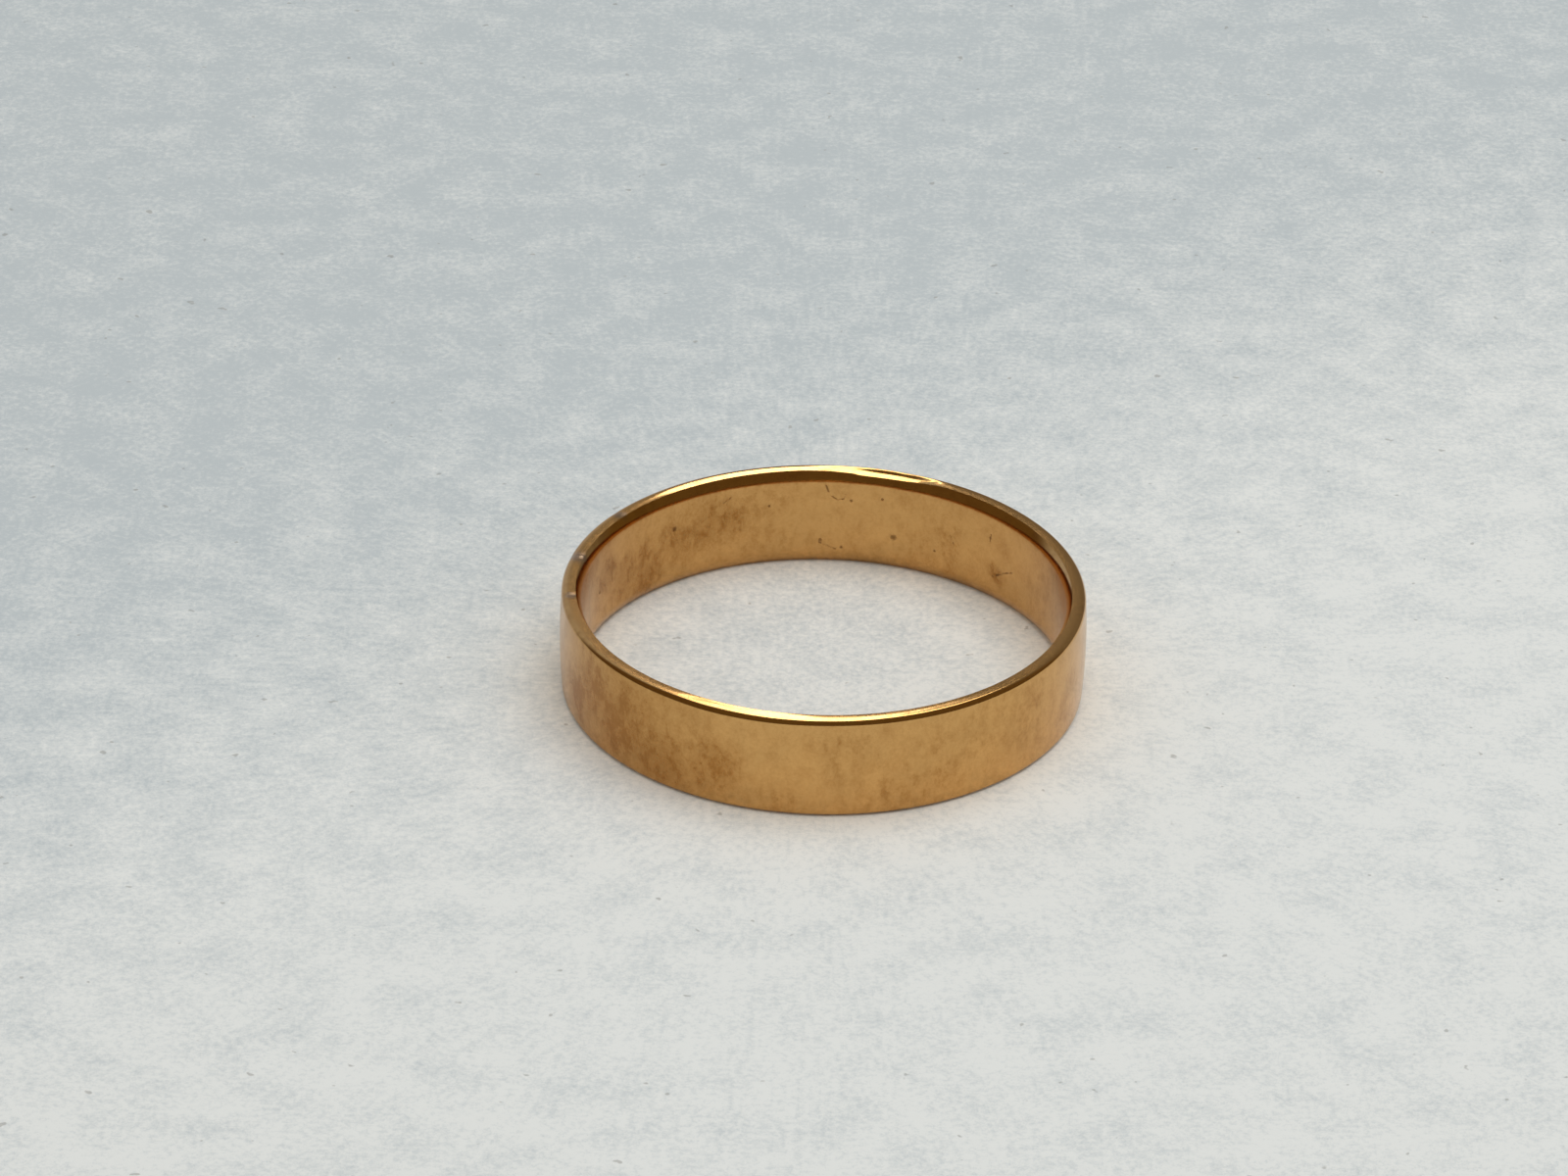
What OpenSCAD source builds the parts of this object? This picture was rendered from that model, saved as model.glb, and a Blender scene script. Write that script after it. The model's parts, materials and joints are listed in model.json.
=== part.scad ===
/* Plain gold wedding band: a flat strip bent round a mandrel and closed with one soldered seam. */

/* [Band] */

// Outside diameter of the band, at the crown of its outside wall
outer_diameter = 19.8; // [16:0.1:24]
// Width of the strip, along the finger
band_width = 4; // [2.5:0.1:8]
// Thickness of the strip, from the bore wall to the crown of the outside wall
wall = 0.82; // [0.75:0.01:1.8]
// How far the outside wall's crown stands out past its edges
crown = 0.06; // [0.02:0.01:0.12]

/* [Edges] */

// Radius that eases the two outside edges
outside_ease = 0.2; // [0.05:0.01:0.25]
// How far the worn inside edges reach across the rims
inside_reach = 0.22; // [0.1:0.01:0.26]
// How far the worn inside edges reach down the bore wall
inside_depth = 0.55; // [0.3:0.01:0.9]

/* [Seam] */

// Thickness of the solder film between the strip's two ends
seam_gap = 0.12; // [0.05:0.01:0.4]
// Where the seam sits round the band, counterclockwise from the +X axis
seam_angle = 168; // [0:1:359]

/* [Hidden] */

$fn = 180;

outer_r = outer_diameter / 2;
bore_r = outer_r - wall;
mean_r = outer_r - wall / 2;

// The crown's arc passes through the two outside edges
half_face = band_width / 2 - outside_ease;
crown_r = (half_face * half_face + crown * crown) / (2 * crown);
crown_x = outer_r - crown_r;

// The outside ease crosses the crown's arc at a soft corner, a little above its own middle height
ease_x = outer_r - crown - outside_ease;
ease_step = outside_ease * half_face / crown_r;

// The inside ease leaves the bore wall smoothly and meets the rim at a soft corner
inside_r = (inside_reach * inside_reach + inside_depth * inside_depth) / (2 * inside_reach);

seam_sweep = 2 * asin(seam_gap / 2 / mean_r);
shank_sweep = 360 - seam_sweep;
seam_start = seam_angle - seam_sweep / 2;
shank_start = seam_angle + seam_sweep / 2;

gold_tint = [0.80, 0.58, 0.33];
solder_tint = [0.72, 0.60, 0.44];

// The strip before its edges are eased: a bar with a crowned outside face
module crowned_bar() {
    intersection() {
        translate([bore_r, 0])
            square([wall, band_width]);
        translate([crown_x, band_width / 2])
            circle(r = crown_r, $fn = 2880);
    }
}

// What the outside ease takes off the upper outside corner
module outside_waste() {
    translate([ease_x, band_width - outside_ease])
        difference() {
            translate([0, ease_step])
                square([wall, outside_ease]);
            circle(r = outside_ease);
        }
}

// What wear has taken off the upper inside corner
module inside_waste() {
    translate([bore_r, band_width - inside_depth])
        difference() {
            translate([-wall, 0])
                square([wall + inside_reach, inside_depth + wall]);
            translate([inside_r, 0])
                circle(r = inside_r, $fn = 720);
        }
}

// Both waste corners of one rim
module rim_waste() {
    outside_waste();
    inside_waste();
}

// Cross-section of the strip, in the plane of the radius and the finger axis
module strip_profile() {
    difference() {
        crowned_bar();
        rim_waste();
        translate([0, band_width])
            mirror([0, 1])
                rim_waste();
    }
}

// The strip of gold, bent round until its two ends nearly meet
module shank() {
    color(gold_tint)
        rotate([0, 0, shank_start])
            rotate_extrude(angle = shank_sweep)
                strip_profile();
}

// The film of solder that joins the strip's ends, filed flush with it
module solder_seam() {
    color(solder_tint)
        rotate([0, 0, seam_start])
            rotate_extrude(angle = seam_sweep)
                strip_profile();
}

shank();
solder_seam();
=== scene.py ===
"""A plain gold wedding band: the worn strip, its solder seam, and a small studio to see them in."""
import json
import math

import bmesh
import bpy
from bpy.props import FloatProperty, FloatVectorProperty, IntProperty, PointerProperty
from bpy.types import Operator, Panel, PropertyGroup
from mathutils import Matrix, Vector, noise


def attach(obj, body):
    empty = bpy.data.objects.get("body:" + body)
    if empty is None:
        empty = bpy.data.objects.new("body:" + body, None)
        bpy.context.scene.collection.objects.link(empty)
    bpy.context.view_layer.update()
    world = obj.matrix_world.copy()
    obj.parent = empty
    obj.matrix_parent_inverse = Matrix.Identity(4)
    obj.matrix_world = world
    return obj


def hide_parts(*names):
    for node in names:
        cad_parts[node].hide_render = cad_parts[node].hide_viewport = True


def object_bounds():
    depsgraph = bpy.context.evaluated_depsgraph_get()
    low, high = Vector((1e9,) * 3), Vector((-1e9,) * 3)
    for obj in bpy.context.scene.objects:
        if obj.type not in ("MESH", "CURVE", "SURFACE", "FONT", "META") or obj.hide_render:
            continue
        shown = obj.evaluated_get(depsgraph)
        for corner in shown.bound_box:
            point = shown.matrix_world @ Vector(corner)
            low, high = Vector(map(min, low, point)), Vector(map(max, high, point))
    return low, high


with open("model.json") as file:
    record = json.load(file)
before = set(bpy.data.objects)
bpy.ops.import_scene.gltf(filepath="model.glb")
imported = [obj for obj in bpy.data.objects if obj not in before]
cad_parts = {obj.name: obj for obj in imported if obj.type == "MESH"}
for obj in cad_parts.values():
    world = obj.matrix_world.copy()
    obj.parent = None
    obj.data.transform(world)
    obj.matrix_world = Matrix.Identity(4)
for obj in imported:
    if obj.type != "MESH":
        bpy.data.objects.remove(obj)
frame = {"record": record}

bl_info = {
    "name": "Wedding Band",
    "version": (1, 0, 0),
    "blender": (4, 5, 0),
    "location": "3D View > Sidebar > Wedding Band",
    "description": "Models a worn gold wedding band, its solder seam and the stage it stands on",
    "category": "Object",
}

MM = 0.001
CAD_LOW, CAD_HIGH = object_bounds()
BORE = next(m for m in frame["record"]["mounts"] if m["name"] == "finger_bore")
OUTER_R = (CAD_HIGH.x - CAD_LOW.x) / 2
BAND_WIDTH = CAD_HIGH.z - CAD_LOW.z
BORE_R = BORE["dims"]["r_mm"] * MM
INSIDE_DEPTH = (BAND_WIDTH - BORE["dims"]["length_mm"] * MM) / 2


class BandSizes(PropertyGroup):
    """Sizes of the strip the band is bent from."""

    outer_radius: FloatProperty(
        name="Outside radius", description="From the finger axis to the outside wall",
        default=OUTER_R, min=0.005, unit="LENGTH", precision=5)
    bore_radius: FloatProperty(
        name="Bore radius", description="From the finger axis to the bore wall",
        default=BORE_R, min=0.004, unit="LENGTH", precision=5)
    width: FloatProperty(
        name="Width", description="Width of the strip, along the finger",
        default=BAND_WIDTH, min=0.001, unit="LENGTH", precision=5)
    crown: FloatProperty(
        name="Crown", description="How far the outside wall stands out past its edges",
        default=0.06 * MM, min=0.00001, unit="LENGTH", precision=5)
    outside_ease: FloatProperty(
        name="Outside ease", description="Radius of the two outside edges",
        default=0.2 * MM, min=0.00001, unit="LENGTH", precision=5)
    inside_reach: FloatProperty(
        name="Inside reach", description="How far the worn inside edges reach across the rims",
        default=0.22 * MM, min=0.00001, unit="LENGTH", precision=5)
    inside_depth: FloatProperty(
        name="Inside depth", description="How far the worn inside edges reach down the bore",
        default=INSIDE_DEPTH, min=0.00001, unit="LENGTH", precision=5)
    rim_crown: FloatProperty(
        name="Rim crown", description="How far wear has rounded the rim's flat land",
        default=0.003 * MM, min=0.000001, unit="LENGTH", precision=6)
    seam_gap: FloatProperty(
        name="Seam gap", description="Thickness of the solder film",
        default=0.12 * MM, min=0.00001, unit="LENGTH", precision=5)
    seam_angle: FloatProperty(
        name="Seam angle", description="Where the seam sits, counterclockwise from +X",
        default=math.radians(168), subtype="ANGLE")
    turns: IntProperty(
        name="Steps round", description="Faces round the band", default=1080, min=64, max=1440)


class BandFinish(PropertyGroup):
    """Colours of the metal."""

    gold: FloatVectorProperty(
        name="Gold", description="Polished alloy", subtype="COLOR",
        default=(0.68, 0.385, 0.137), min=0, max=1)
    tarnish: FloatVectorProperty(
        name="Tarnish", description="Brown film that clouds the walls", subtype="COLOR",
        default=(0.40, 0.18, 0.045), min=0, max=1)
    solder: FloatVectorProperty(
        name="Solder", description="Solder film in the seam", subtype="COLOR",
        default=(0.62, 0.40, 0.20), min=0, max=1)


class StageSettings(PropertyGroup):
    """The floor, the lights and the camera."""

    floor_color: FloatVectorProperty(
        name="Floor", description="Pale floor", subtype="COLOR",
        default=(0.80, 0.805, 0.775), min=0, max=1)
    lens: FloatProperty(
        name="Lens", description="Focal length in millimetres on a 36 mm sensor",
        default=135, min=10, subtype="DISTANCE_CAMERA")
    distance: FloatProperty(
        name="Distance", description="From the camera to the middle of the band",
        default=0.2213, min=0.01, unit="LENGTH")
    elevation: FloatProperty(
        name="Elevation", description="Height of the camera above the horizon",
        default=math.radians(29.99), subtype="ANGLE")
    roll: FloatProperty(
        name="Roll", description="Turn of the camera about its own axis",
        default=math.radians(-1.295), subtype="ANGLE")


def sizes():
    return bpy.context.scene.band_sizes


def finish():
    return bpy.context.scene.band_finish


def stage():
    return bpy.context.scene.band_stage


# ---------------------------------------------------------------- the strip

# Faces along each stretch of the cross-section
CORNER_CUTS, FACE_CUTS, RIM_CUTS = 8, 24, 5
# The shank is spun through one sector, which is then repeated
SHANK_SECTORS, SEAM_STEPS = 36, 3
SAME_POINT = 1e-7
MERGE_REACH = 0.002 * MM
SMOOTH_BELOW = math.radians(40)


def start_fresh():
    """Leaves edit mode and deselects everything, so the next tool acts on its own object only."""
    if bpy.context.object and bpy.context.object.mode != "OBJECT":
        bpy.ops.object.mode_set(mode="OBJECT")
    bpy.ops.object.select_all(action="DESELECT")


def select_points(obj, test):
    """Selects, in edit mode, just the vertices that a test picks."""
    bpy.ops.mesh.select_all(action="DESELECT")
    mesh = bmesh.from_edit_mesh(obj.data)
    for v in mesh.verts:
        v.select = test(v.co)
    mesh.select_flush_mode()
    bmesh.update_edit_mesh(obj.data)


def arc_radius(half_chord, bulge):
    """Radius of the arc that rises by a bulge over a chord."""
    return (half_chord ** 2 + bulge ** 2) / (2 * bulge)


def swing(obj, start, end, bulge, steps):
    """Spins the section's last point from start to end, on an arc that bulges to the left."""
    (x0, z0), (x1, z1) = start, end
    half = math.hypot(x1 - x0, z1 - z0) / 2
    radius = arc_radius(half, bulge)
    left_x, left_z = -(z1 - z0) / (2 * half), (x1 - x0) / (2 * half)
    centre_x = (x0 + x1) / 2 - left_x * (radius - bulge)
    centre_z = (z0 + z1) / 2 - left_z * (radius - bulge)
    turn = 2 * math.asin(half / radius)
    select_points(obj, lambda p: math.hypot(p.x - x0, p.z - z0) < SAME_POINT)
    bpy.ops.mesh.spin(steps=steps, angle=-turn, center=(centre_x, 0, centre_z), axis=(0, 1, 0))


def section_path(s):
    """The strip's cross-section: start, end, bulge and faces of each arc, from the bore round."""
    edge_r = s.outer_radius - s.crown
    land_in, land_out = s.bore_radius + s.inside_reach, edge_r - s.outside_ease
    inside_r = arc_radius(s.inside_depth, s.inside_reach)
    half_turn = math.asin(s.inside_depth / inside_r) / 2
    inside_bulge = inside_r * (1 - math.cos(half_turn))
    ease_bulge = s.outside_ease * (1 - math.sqrt(0.5))
    top = s.width - s.rim_crown
    low = s.width - top
    corners = (
        (s.bore_radius, s.width - s.inside_depth), (land_in, top), (land_out, top),
        (edge_r, top - s.outside_ease), (edge_r, low + s.outside_ease),
        (land_out, low), (land_in, low), (s.bore_radius, s.inside_depth),
    )
    arcs = (
        (inside_bulge, CORNER_CUTS), (s.rim_crown, RIM_CUTS), (ease_bulge, CORNER_CUTS),
        (s.crown, FACE_CUTS),
        (ease_bulge, CORNER_CUTS), (s.rim_crown, RIM_CUTS), (inside_bulge, CORNER_CUTS),
    )
    return [(*ends, *arc) for ends, arc in zip(zip(corners, corners[1:]), arcs)]


def strip_section(name):
    """The cross-section of the strip, as a loop of edges in the XZ plane."""
    s = sizes()
    first = (s.bore_radius, 0, s.width - s.inside_depth)
    start_fresh()
    bpy.ops.mesh.primitive_plane_add(size=s.inside_depth, location=first)
    obj = bpy.context.object
    obj.name = obj.data.name = name
    bpy.ops.object.transform_apply(location=True, rotation=True, scale=True)
    bpy.ops.object.mode_set(mode="EDIT")
    bpy.ops.mesh.select_mode(type="VERT")
    bpy.ops.mesh.select_all(action="SELECT")
    bpy.ops.mesh.merge(type="CENTER")
    for start, end, bulge, cuts in section_path(s):
        swing(obj, start, end, bulge, cuts)
    select_points(obj, lambda p: abs(p.x - s.bore_radius) < SAME_POINT)
    bpy.ops.mesh.edge_face_add()
    bpy.ops.mesh.subdivide(number_cuts=FACE_CUTS - 1)
    return obj


def bend_round(obj, start, sweep, steps, sectors=1):
    """Spins the section through one sector, repeats it round the axis and closes the two ends."""
    bpy.ops.mesh.select_all(action="SELECT")
    bpy.ops.mesh.spin(
        steps=steps // sectors, angle=-sweep / sectors, center=(0, 0, 0), axis=(0, 0, 1))
    bpy.ops.object.mode_set(mode="OBJECT")
    if sectors > 1:
        repeat_sector(obj, sweep / sectors, sectors)
    bpy.ops.object.mode_set(mode="EDIT")
    bpy.ops.mesh.select_all(action="SELECT")
    bpy.ops.mesh.remove_doubles(threshold=MERGE_REACH)
    bpy.ops.mesh.fill_holes(sides=0)
    bpy.ops.mesh.select_all(action="SELECT")
    bpy.ops.mesh.normals_make_consistent(inside=False)
    bpy.ops.object.mode_set(mode="OBJECT")
    obj.rotation_euler = (0, 0, start)
    bpy.ops.object.transform_apply(location=True, rotation=True, scale=True)
    bpy.ops.object.shade_smooth_by_angle(angle=SMOOTH_BELOW)


def repeat_sector(obj, turn, count):
    """Copies one sector on round the finger axis, each copy turned by the same angle."""
    start_fresh()
    bpy.ops.object.empty_add(rotation=(0, 0, turn))
    pivot = bpy.context.object
    start_fresh()
    obj.select_set(True)
    bpy.context.view_layer.objects.active = obj
    array = obj.modifiers.new("sectors", "ARRAY")
    array.use_relative_offset, array.use_object_offset = False, True
    array.offset_object, array.count = pivot, count
    array.use_merge_vertices, array.merge_threshold = True, MERGE_REACH
    bpy.ops.object.modifier_apply(modifier=array.name)
    bpy.data.objects.remove(pivot)


def seam_sweep():
    """The angle that the solder film takes up."""
    s = sizes()
    return 2 * math.asin(s.seam_gap / 2 / ((s.outer_radius + s.bore_radius) / 2))


# ---------------------------------------------------------------- wear
# Depths are in millimetres, and angles in degrees round the band from +X.

# Shallow waves and ripples all over: mean depth, and how many to the metre
WAVES, RIPPLES = (0.003, 350), (0.001, 1500)
# Dents across the upper rim: angle, depth and half-width, and then how far below the rim
# they begin and are full
RIM_DENTS = ((168.0, 0.006, 0.30), (186.0, 0.005, 0.16), (146.0, 0.006, 0.22),
             (40.0, 0.003, 0.12), (71.0, 0.010, 0.35), (83.0, 0.006, 0.40))
DENTS_FADE = (0.7, 0.25)
# How far the upper rim is worn down at its inner side, all round and then over one stretch,
# and at its outer side over two. A stretch starts, is full, starts to fade and ends.
INNER_LEAN = 0.005
INNER_LEANS = ((0.024, (54, 71, 122, 146)),)
OUTER_LEANS = ((0.034, (234, 246, 258, 272)), (0.010, (258, 272, 298, 312)))
INNER_SIDE_FROM, OUTER_SIDE_FROM = 0.25, 0.2
EASE_TOP, LEAN_TOP = 0.1, 0.12
# The flat that is rubbed across the rim: its stretch, its height below the rim at a place in
# from the bore wall, its slope, and where it fades out on the rim
FLAT_STRETCH = (60, 71, 78, 96)
FLAT_DROP, FLAT_PLACE, FLAT_SLOPE = 0.15, 0.12, 0.2
FLAT_EDGE, FLAT_FADE_FROM, FLAT_FADE_TO = 0.2, 0.2, 0.22


def bell(distance, reach):
    return math.exp(-(distance / reach) ** 2)


def smooth(value, low, high):
    """A soft step: 0 at low and 1 at high."""
    t = min(max((value - low) / (high - low), 0), 1)
    return t * t * (3 - 2 * t)


def over(angle, stretch):
    """1 over a stretch of the band and 0 beyond it."""
    start, full, fade, end = stretch
    return smooth(angle, start, full) * (1 - smooth(angle, fade, end))


def surface_loss(point, angle, radius, s):
    """What waves, ripples and dents take off a point, in millimetres."""
    loss = 0
    for depth, scale in (WAVES, RIPPLES):
        loss += depth * (1 + noise.noise(point * scale))
    near_rim = smooth(point.z, *(s.width - fade * MM for fade in DENTS_FADE))
    for place, depth, half_width in RIM_DENTS:
        round_way = math.radians(abs(angle - place)) * radius / MM
        loss += near_rim * depth * bell(round_way, half_width)
    return loss


def lean_loss(point, angle, radius, s):
    """How far a point of the upper rim is worn down, in millimetres."""
    land = s.bore_radius + s.inside_reach
    ease_foot = s.width - s.inside_depth
    if radius > land:
        inner_side = smooth(radius, s.outer_radius - INNER_SIDE_FROM * MM, land)
    else:
        inner_side = smooth(point.z, ease_foot, s.width - EASE_TOP * MM)
    outer_side = smooth(radius, land, s.outer_radius - OUTER_SIDE_FROM * MM)
    inner = INNER_LEAN + sum(depth * over(angle, stretch) for depth, stretch in INNER_LEANS)
    outer = sum(depth * over(angle, stretch) for depth, stretch in OUTER_LEANS)
    on_top = smooth(point.z, ease_foot, s.width - LEAN_TOP * MM)
    return on_top * (inner_side * inner + outer_side * outer)


def flat_loss(height, angle, radius, s):
    """How far the rubbed flat lowers a point, in metres."""
    flat = s.width - FLAT_DROP * MM + FLAT_SLOPE * (radius - s.bore_radius - FLAT_PLACE * MM)
    if height <= flat or radius >= s.outer_radius - FLAT_EDGE * MM:
        return 0
    fade = smooth(radius, s.bore_radius + s.inside_reach + FLAT_FADE_FROM * MM,
                  s.outer_radius - FLAT_FADE_TO * MM)
    return over(angle, FLAT_STRETCH) * (height - flat) * (1 - fade)


def wear(obj):
    """Takes metal off, along each point's own normal and down from the upper rim, and adds none."""
    s = sizes()
    shape = bmesh.new()
    shape.from_mesh(obj.data)
    shape.normal_update()
    worn = []
    for v in shape.verts:
        radius = math.hypot(v.co.x, v.co.y)
        angle = math.degrees(math.atan2(v.co.y, v.co.x)) % 360
        round_way = Vector((-v.co.y, v.co.x, 0)) / radius
        outward = v.normal - v.normal.dot(round_way) * round_way
        point = v.co - outward * surface_loss(v.co, angle, radius, s) * MM
        point.z -= lean_loss(v.co, angle, radius, s) * MM
        point.z -= flat_loss(point.z, angle, radius, s)
        worn.append(point)
    for v, point in zip(shape.verts, worn):
        v.co = point
    shape.to_mesh(obj.data)
    shape.free()


# ---------------------------------------------------------------- wiring

class Wiring:
    """Short calls for wiring one node tree."""

    def __init__(self, tree):
        self.tree = tree

    def put(self, socket, value):
        if isinstance(value, bpy.types.NodeSocket):
            self.tree.links.new(value, socket)
        else:
            socket.default_value = value

    def math(self, operation, *values, clamp=False):
        node = self.tree.nodes.new("ShaderNodeMath")
        node.operation, node.use_clamp = operation, clamp
        for socket, value in zip(node.inputs, values):
            self.put(socket, value)
        return node.outputs[0]

    def times(self, a, b):
        return self.math("MULTIPLY", a, b)

    def plus(self, a, b, clamp=False):
        return self.math("ADD", a, b, clamp=clamp)

    def minus(self, a, b, clamp=False):
        return self.math("SUBTRACT", a, b, clamp=clamp)

    def most(self, *values):
        total = values[0]
        for value in values[1:]:
            total = self.math("MAXIMUM", total, value)
        return total

    def ramp(self, value, low, high):
        """A soft step: 0 at low and 1 at high."""
        node = self.tree.nodes.new("ShaderNodeMapRange")
        node.interpolation_type = "SMOOTHSTEP"
        for key, v in (("Value", value), ("From Min", low), ("From Max", high)):
            self.put(node.inputs[key], v)
        return node.outputs["Result"]

    def mix(self, factor, a, b):
        """A colour between a and b, each a colour socket or three numbers."""
        node = self.tree.nodes.new("ShaderNodeMix")
        node.data_type = "RGBA"
        self.put(node.inputs["Factor"], factor)
        for key, v in ((6, a), (7, b)):
            self.put(node.inputs[key], v if isinstance(v, bpy.types.NodeSocket) else (*v, 1))
        return node.outputs[2]

    def vector(self, operation, a, b, output="Vector"):
        node = self.tree.nodes.new("ShaderNodeVectorMath")
        node.operation = operation
        self.put(node.inputs[0], a)
        self.put(node.inputs[1], b)
        return node.outputs[output]

    def part(self, vector, axis):
        """One of a vector's three parts."""
        node = self.tree.nodes.new("ShaderNodeSeparateXYZ")
        self.put(node.inputs[0], vector)
        return node.outputs[axis]


class Finish(Wiring):
    """One material, wired on Object coordinates."""

    def __init__(self, name):
        self.material = bpy.data.materials.new(name)
        self.material.use_nodes = True
        super().__init__(self.material.node_tree)
        self.shader = self.tree.nodes["Principled BSDF"]
        self.place = self.tree.nodes.new("ShaderNodeTexCoord").outputs["Object"]

    def noise(self, scale, detail, roughness, vector=None):
        node = self.tree.nodes.new("ShaderNodeTexNoise")
        for key, value in (("Vector", vector or self.place), ("Scale", scale),
                           ("Detail", detail), ("Roughness", roughness)):
            self.put(node.inputs[key], value)
        return node.outputs["Fac"]

    def along(self, axis):
        """One of the three coordinates, in metres."""
        return self.part(self.place, axis)

    def stretched(self, scale):
        """The coordinates, scaled by three numbers."""
        node = self.tree.nodes.new("ShaderNodeMapping")
        node.inputs["Scale"].default_value = scale
        self.tree.links.new(self.place, node.inputs["Vector"])
        return node.outputs["Vector"]

    def patch(self, angle, radius, height, reach, soft):
        """A ragged round patch, 1 in its middle, at a place round the band and up its width."""
        span = self.vector("DISTANCE", self.place, on_band(angle, radius, height), output="Value")
        ragged = self.times(self.noise(1.6 / reach, detail=4, roughness=0.65), reach)
        edge = self.plus(span, self.minus(ragged, reach / 2))
        return self.minus(1.0, self.ramp(edge, reach * (1 - soft), reach), clamp=True)

    def scratch(self, start, end, half_width):
        """A line, 1 along its middle, between two points."""
        way = end - start
        from_start = self.vector("SUBTRACT", self.place, start)
        share = self.math("DIVIDE", self.vector("DOT_PRODUCT", from_start, way, output="Value"),
                          way.length_squared, clamp=True)
        scaled = self.tree.nodes.new("ShaderNodeVectorMath")
        scaled.operation = "SCALE"
        scaled.inputs[0].default_value = way
        self.tree.links.new(share, scaled.inputs["Scale"])
        off = self.vector("DISTANCE", from_start, scaled.outputs["Vector"], output="Value")
        return self.minus(1.0, self.ramp(off, half_width * 0.3, half_width), clamp=True)

    def bump(self, height, strength, distance):
        node = self.tree.nodes.new("ShaderNodeBump")
        node.inputs["Strength"].default_value = strength
        node.inputs["Distance"].default_value = distance
        self.put(node.inputs["Height"], height)
        self.put(self.shader.inputs["Normal"], node.outputs["Normal"])


def on_band(angle, radius, height):
    """A point given in degrees round the band, with its radius and height in metres."""
    turn = math.radians(angle)
    return Vector((radius * math.cos(turn), radius * math.sin(turn), height))


# ---------------------------------------------------------------- finishes

# Brown stains: degrees round the band, height up its width and reach, in millimetres
BORE_STAINS = ((121, 2.3, 1.6), (115, 2.2, 1.3), (129, 1.9, 1.6), (138, 1.4, 1.6),
               (148, 1.5, 1.5), (155, 2.2, 1.1), (43, 1.2, 0.7))
FACE_STAINS = ((222, 1.9, 2.3), (234, 1.3, 2.0), (212, 2.5, 1.8), (246, 1.6, 1.8),
               (204, 1.6, 1.5))
FAINT_STAINS = ((276, 3.0, 1.9), (262, 0.5, 1.3), (296, 1.5, 2.6), (322, 2.2, 2.2),
                (308, 2.6, 1.8), (285, 0.8, 1.6), (338, 1.4, 1.8), (20, 2.0, 2.4),
                (60, 1.6, 2.4), (105, 2.2, 2.6), (160, 1.8, 2.4))
# Pits in the bore, in the same way
BORE_PITS = ((129.8, 2.5, 0.15), (73.0, 1.4, 0.16), (76.0, 3.0, 0.08), (91.2, 1.0, 0.11),
             (86.0, 0.7, 0.09), (83.8, 2.8, 0.09), (104.0, 2.6, 0.08), (62.0, 1.2, 0.07),
             (45.5, 2.7, 0.09), (160.0, 1.8, 0.09))
# Dull breaks across the upper rim: degrees round the band and reach in millimetres
RIM_BREAKS = ((168, 0.62), (186, 0.34), (146, 0.40))
# Scratches on the bore: two places, each in degrees round and height, then the half-width
BORE_SCRATCHES = (
    ((90.0, 3.42), (89.2, 3.05), 0.05), ((89.2, 3.05), (87.2, 2.80), 0.05),
    ((87.2, 2.80), (85.6, 2.86), 0.04), ((85.6, 2.86), (85.2, 3.05), 0.04),
    ((45.6, 2.55), (45.3, 2.85), 0.04), ((44.5, 1.05), (41.0, 1.42), 0.07),
    ((41.0, 1.42), (37.5, 1.70), 0.05), ((116.0, 3.0), (113.5, 3.25), 0.04),
    ((91.5, 0.9), (87.5, 0.62), 0.05), ((58.0, 2.2), (56.5, 1.7), 0.03),
)

# What each kind of tarnish, and the darkening towards the left of the front, adds to the brown
# film, where 1 is fully brown
BLOTCH_FILM, MOTTLE_FILM, FRONT_LEFT_DARKENING, GRAIN_FILM = 0.22, 0.26, 0.22, 1.0
STAIN_FILM, STAIN_MOTTLE = 0.42, 0.40
FAINT_FILM, FAINT_MOTTLE = 0.08, 0.26
# The colours of worn breaks and of dirt in the pits, and how much each covers
BREAK_COLOR, BREAK_COVER = (0.40, 0.30, 0.235), 0.6
PIT_COLOR, PIT_COVER = (0.16, 0.07, 0.02), 0.65
# Roughness of the polished metal, and what the film, the walls and the pits add
POLISH_ROUGH, FILM_ROUGH, WALL_ROUGH, PIT_ROUGH = 0.10, 0.14, 0.07, 0.25
# Bump: how much of it the polished rim keeps, and how deep the pits go
RIM_BUMP, PIT_BUMP = 0.12, 2.0


def brown_film(n, mottle, grain):
    """How brown the metal is: blotches, mottling, stains, a darkening towards the left of the
    front, and grain.
    """
    s = sizes()
    blotches = n.ramp(n.noise(620, detail=6, roughness=0.68), 0.40, 0.72)
    # Darker and browner towards the left of the front of the band
    left = n.times(n.ramp(n.times(n.along("X"), -1.0), 2.0 * MM, 8.5 * MM),
                   n.ramp(n.times(n.along("Y"), -1.0), -1.0 * MM, 2.0 * MM))
    stains = n.most(
        *(n.patch(a, s.bore_radius, z * MM, r * MM, soft=0.8) for a, z, r in BORE_STAINS),
        *(n.patch(a, s.outer_radius, z * MM, r * MM, soft=0.85) for a, z, r in FACE_STAINS))
    faint = n.most(
        *(n.patch(a, s.outer_radius, z * MM, r * MM, soft=0.95) for a, z, r in FAINT_STAINS))
    film = n.plus(n.times(blotches, BLOTCH_FILM), n.times(mottle, MOTTLE_FILM))
    for kind, even, mottled in ((stains, STAIN_FILM, STAIN_MOTTLE),
                                (faint, FAINT_FILM, FAINT_MOTTLE)):
        film = n.plus(film, n.times(kind, n.plus(even, n.times(mottle, mottled))))
    film = n.plus(film, n.times(left, FRONT_LEFT_DARKENING))
    return n.plus(film, n.times(n.minus(grain, 0.5), GRAIN_FILM), clamp=True)


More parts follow.
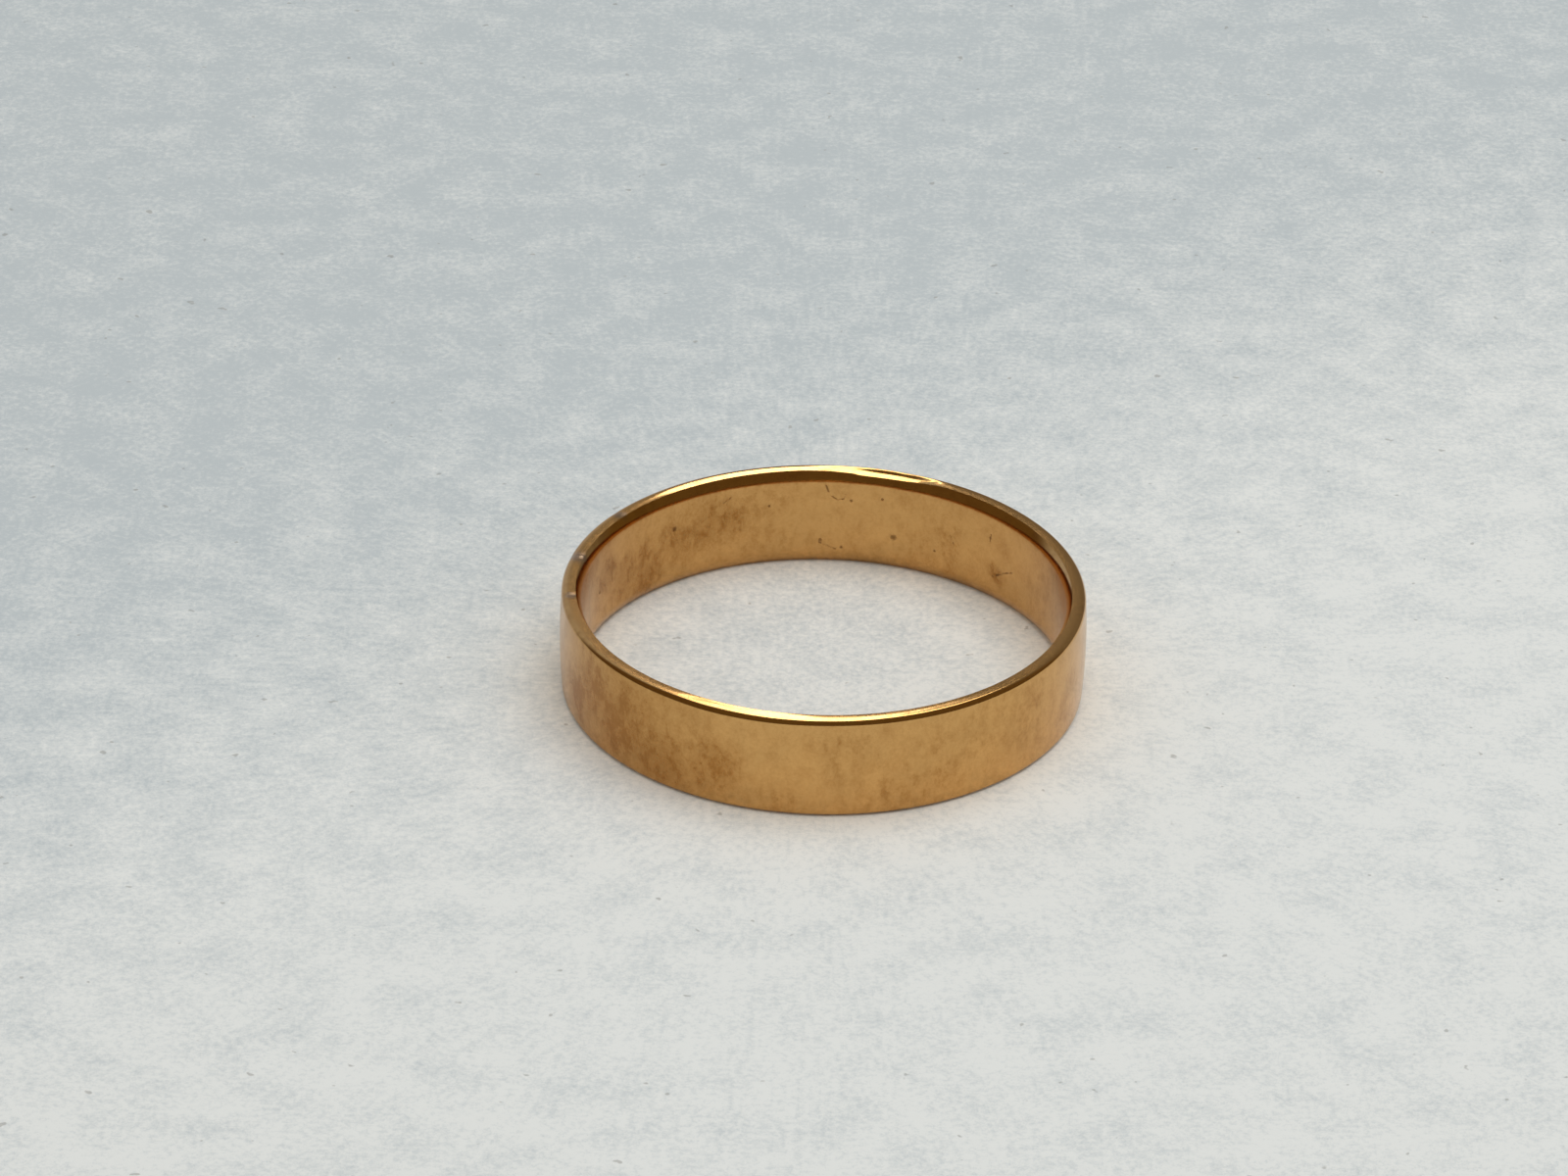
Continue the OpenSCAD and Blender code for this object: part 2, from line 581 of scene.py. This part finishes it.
def pits_and_scratches(n):
    """1 in the bore's pits and along its scratches, which come and go."""
    s = sizes()
    lines = n.most(*(
        n.scratch(*(on_band(a, s.bore_radius, z * MM) for a, z in ends), half * MM)
        for *ends, half in BORE_SCRATCHES))
    broken = n.times(lines, n.ramp(n.noise(5200, detail=3, roughness=0.6), 0.36, 0.60))
    return n.most(
        broken, *(n.patch(a, s.bore_radius, z * MM, r * MM, soft=0.7) for a, z, r in BORE_PITS))


def gold_finish(name, color, tarnish):
    """Old polished gold: brown films, soft blotches, pits and a fine grain."""
    s = sizes()
    n = Finish(name)
    mottle = n.ramp(
        n.noise(1, detail=5, roughness=0.7, vector=n.stretched((2300, 2300, 1500))), 0.40, 0.70)
    grain = n.noise(7500, detail=5, roughness=0.8)
    film = brown_film(n, mottle, grain)
    pits = pits_and_scratches(n)
    rim_middle = (s.bore_radius + s.outer_radius) / 2
    breaks = n.most(
        *(n.patch(a, rim_middle, s.width, r * MM, soft=0.7) for a, r in RIM_BREAKS))
    metal = n.mix(film, tuple(color), tuple(tarnish))
    metal = n.mix(n.times(breaks, BREAK_COVER), metal, BREAK_COLOR)
    metal = n.mix(n.times(pits, PIT_COVER), metal, PIT_COLOR)
    n.put(n.shader.inputs["Base Color"], metal)
    n.shader.inputs["Metallic"].default_value = 1

    wall = n.minus(1.0, n.ramp(n.along("Z"), s.width - 0.5 * MM, s.width - 0.15 * MM))
    rough = n.plus(POLISH_ROUGH, n.times(film, FILM_ROUGH))
    rough = n.plus(rough, n.times(wall, WALL_ROUGH))
    rough = n.plus(rough, n.times(pits, PIT_ROUGH), clamp=True)
    n.put(n.shader.inputs["Roughness"], rough)

    height = n.plus(n.times(grain, 0.5), n.noise(2600, detail=4, roughness=0.6))
    height = n.minus(height, n.times(pits, PIT_BUMP))
    height = n.times(height, n.plus(RIM_BUMP, n.times(wall, 1 - RIM_BUMP)))
    n.bump(height, strength=0.35, distance=0.012 * MM)
    return n.material


# The paper's cool side of painted shade, which its tooth also darkens towards, its dust, and how
# much the dust covers
SHADE_AND_TOOTH_COLOR, DUST_COLOR, DUST_COVER = (0.53, 0.57, 0.58), (0.25, 0.23, 0.20), 0.45
# How much the painted shade drifting across the floor and the paper's own tooth change its colour
PAINTED_FALLOFF, TOOTH, TOOTH_MIDDLE = 0.75, 4.2, 0.47


def floor_finish():
    """Rough pale paper, a little dusty, with painted shade that makes it darker and cooler at the
    far left and warmer at the near right.
    """
    n = Finish("pale_floor")
    # Painted shade drifts along this, from the far left to the near right
    across = n.minus(n.times(n.along("X"), 0.75), n.along("Y"))
    tooth = n.plus(n.times(n.noise(3400, detail=6, roughness=0.8), 0.65),
                   n.times(n.noise(420, detail=5, roughness=0.65), 0.35))
    shade = n.plus(n.times(n.ramp(across, -0.040, 0.016), PAINTED_FALLOFF),
                   n.times(n.minus(tooth, TOOTH_MIDDLE), TOOTH), clamp=True)
    paper = n.mix(shade, SHADE_AND_TOOTH_COLOR, tuple(stage().floor_color))
    dust = n.ramp(n.noise(1500, detail=2, roughness=0.5), 0.715, 0.760)
    n.put(n.shader.inputs["Base Color"], n.mix(n.times(dust, DUST_COVER), paper, DUST_COLOR))
    n.shader.inputs["Roughness"].default_value = 0.9
    n.shader.inputs["Specular IOR Level"].default_value = 0.1
    n.bump(tooth, strength=0.45, distance=0.09 * MM)
    return n.material


def glow(name, color, strength):
    """A surface that only gives out light."""
    material = bpy.data.materials.new(name)
    material.use_nodes = True
    tree = material.node_tree
    tree.nodes.clear()
    emit = tree.nodes.new("ShaderNodeEmission")
    emit.inputs["Color"].default_value = (*color, 1)
    emit.inputs["Strength"].default_value = strength
    out = tree.nodes.new("ShaderNodeOutputMaterial")
    tree.links.new(emit.outputs[0], out.inputs["Surface"])
    return material


# ---------------------------------------------------------------- the band's operators

class BAND_OT_shank(Operator):
    """Bend the gold strip round into the shank"""

    bl_idname = "band.shank"
    bl_label = "Shank"

    def execute(self, context):
        s = sizes()
        obj = strip_section("shank_worn")
        start, sweep = s.seam_angle + seam_sweep() / 2, math.tau - seam_sweep()
        bend_round(obj, start, sweep, s.turns, sectors=SHANK_SECTORS)
        wear(obj)
        obj.data.materials.append(gold_finish("worn_gold", finish().gold, finish().tarnish))
        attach(obj, "root")
        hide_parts("shank")
        return {"FINISHED"}


class BAND_OT_seam(Operator):
    """Lay the film of solder between the strip's two ends"""

    bl_idname = "band.seam"
    bl_label = "Solder seam"

    def execute(self, context):
        s = sizes()
        obj = strip_section("solder_seam_filed")
        bend_round(obj, s.seam_angle - seam_sweep() / 2, seam_sweep(), SEAM_STEPS)
        wear(obj)
        obj.data.materials.append(gold_finish("filed_solder", finish().solder, finish().tarnish))
        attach(obj, "root")
        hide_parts("solder_seam")
        return {"FINISHED"}


# ---------------------------------------------------------------- the stage

FLOOR_SIZE, FLOOR_DROP = 1.5, 0.00001
# Glowing cards behind the band, for its highlights: name, place and size in millimetres,
# colour and strength
WINDOWS = (
    ("low_window", (-2, 200, 188), (26, 100), (1.0, 0.99, 0.95), 5.4),
    ("high_window", (5, 201, 420), (90, 470), (1.0, 0.99, 0.88), 4.6),
)
KEY_SIZE, KEY_POWER, KEY_PLACE = 0.42, 1.1, (0.10, 0.03, 0.45)
# The room as the metal reflects it: its far side at the left and right, and its near side
FAR_LEFT, FAR_RIGHT, NEAR = (0.45, 0.50, 0.58), (0.20, 0.19, 0.17), (0.13, 0.09, 0.035)
# The room as it lights the floor, as it lights it by way of the gold, and as a backdrop
ROOM_LIGHT, GOLD_BOUNCE, BACKDROP = (0.51, 0.52, 0.52), (1.42, 1.56, 1.75), (0.62, 0.64, 0.64)
SENSOR = 36
CLIP_START, CLIP_END = 0.005, 10
# How far the band sits right of and below the middle of the frame, for each unit of depth
AIM_RIGHT, AIM_DOWN = 0.0066167, 0.0078


def glowing_card(name, place, size, color, strength):
    """An upright card that faces along Y, seen in reflections but lighting nothing."""
    start_fresh()
    bpy.ops.mesh.primitive_plane_add(
        size=1, location=Vector(place) * MM, rotation=(math.pi / 2, 0, 0))
    card = bpy.context.object
    card.name = name
    card.scale = (size[0] * MM, size[1] * MM, 1)
    card.data.materials.append(glow(name + "_glow", color, strength))
    card.visible_diffuse = card.visible_shadow = False


class BAND_OT_stage(Operator):
    """Set out the floor, the lights and the camera"""

    bl_idname = "band.stage"
    bl_label = "Stage"

    def execute(self, context):
        self.floor()
        for window in WINDOWS:
            glowing_card(*window)
        self.room()
        self.key_light()
        self.camera()
        bpy.context.scene.view_settings.view_transform = "Standard"
        return {"FINISHED"}

    def floor(self):
        start_fresh()
        bpy.ops.mesh.primitive_plane_add(size=FLOOR_SIZE, location=(0, 0, -FLOOR_DROP))
        floor = bpy.context.object
        floor.name = "floor"
        floor.data.materials.append(floor_finish())

    def room(self):
        """A pale room for the floor, which the metal sees as dim, and warm at the near side."""
        world = bpy.data.worlds.new("studio")
        bpy.context.scene.world = world
        world.use_nodes = True
        n = Wiring(world.node_tree)
        ray = n.tree.nodes.new("ShaderNodeLightPath").outputs
        way = n.tree.nodes.new("ShaderNodeTexCoord").outputs["Generated"]
        far = n.mix(n.ramp(n.part(way, "X"), -0.15, 0.02), FAR_LEFT, FAR_RIGHT)
        seen = n.mix(n.ramp(n.part(way, "Y"), 0.35, 0.6), NEAR, far)
        before_floor = n.math("LESS_THAN", ray["Diffuse Depth"], 0.5)
        mirrored = n.times(ray["Is Glossy Ray"], before_floor)
        light = n.mix(ray["Is Glossy Ray"], ROOM_LIGHT, GOLD_BOUNCE)
        lit = n.mix(mirrored, light, seen)
        shown = n.mix(ray["Is Camera Ray"], lit, BACKDROP)
        n.put(n.tree.nodes["Background"].inputs["Color"], shown)

    def key_light(self):
        """One soft lamp above the band, kept out of its reflections."""
        light = bpy.data.lights.new("soft_key", "AREA")
        light.shape, light.size, light.size_y = "RECTANGLE", KEY_SIZE, KEY_SIZE
        light.energy = KEY_POWER
        lamp = bpy.data.objects.new("soft_key", light)
        bpy.context.scene.collection.objects.link(lamp)
        lamp.location = KEY_PLACE
        lamp.rotation_mode = "QUATERNION"
        lamp.rotation_quaternion = lamp.location.to_track_quat("Z", "Y")
        lamp.visible_glossy = False

    def camera(self):
        """The camera looks down at the band, a little off the middle of the frame."""
        st = stage()
        target = Vector((0, 0, sizes().width / 2))
        ce, se = math.cos(st.elevation), math.sin(st.elevation)
        forward, right, up = Vector((0, ce, -se)), Vector((1, 0, 0)), Vector((0, se, ce))
        base = Matrix((right, up, forward))
        cr, sr = math.cos(st.roll), math.sin(st.roll)
        roll = Matrix(((cr, -sr, 0), (sr, cr, 0), (0, 0, 1)))
        aim = Vector((AIM_RIGHT, -AIM_DOWN, 1)).normalized()
        turn = Vector((0, 0, 1)).rotation_difference(aim).to_matrix()
        axes = turn @ roll @ base
        data = bpy.data.cameras.new("camera")
        data.sensor_width, data.lens = SENSOR, st.lens
        data.clip_start, data.clip_end = CLIP_START, CLIP_END
        cam = bpy.data.objects.new("camera", data)
        bpy.context.scene.collection.objects.link(cam)
        basis = Matrix((axes[0], axes[1], -Vector(axes[2]))).transposed()
        cam.matrix_world = Matrix.Translation(target - forward * st.distance) @ basis.to_4x4()
        bpy.context.scene.camera = cam


class BAND_PT_panel(Panel):
    """Lists the band's pieces and its stage"""

    bl_idname = "BAND_PT_panel"
    bl_label = "Wedding Band"
    bl_space_type = "VIEW_3D"
    bl_region_type = "UI"
    bl_category = "Wedding Band"

    def draw(self, context):
        for name, _ in GROUPS:
            group = getattr(context.scene, name)
            for key in group.__annotations__:
                self.layout.prop(group, key)
        for tool in OPERATORS:
            self.layout.operator(tool.bl_idname)


OPERATORS = (BAND_OT_shank, BAND_OT_seam, BAND_OT_stage)
GROUPS = (("band_sizes", BandSizes), ("band_finish", BandFinish), ("band_stage", StageSettings))


def register():
    for name, group in GROUPS:
        bpy.utils.register_class(group)
        setattr(bpy.types.Scene, name, PointerProperty(type=group))
    for tool in (*OPERATORS, BAND_PT_panel):
        bpy.utils.register_class(tool)


def unregister():
    for tool in (BAND_PT_panel, *reversed(OPERATORS)):
        bpy.utils.unregister_class(tool)
    for name, group in reversed(GROUPS):
        delattr(bpy.types.Scene, name)
        bpy.utils.unregister_class(group)


def main():
    register()
    bpy.ops.band.shank()
    bpy.ops.band.seam()
    bpy.ops.band.stage()


if __name__ == "__main__":
    main()
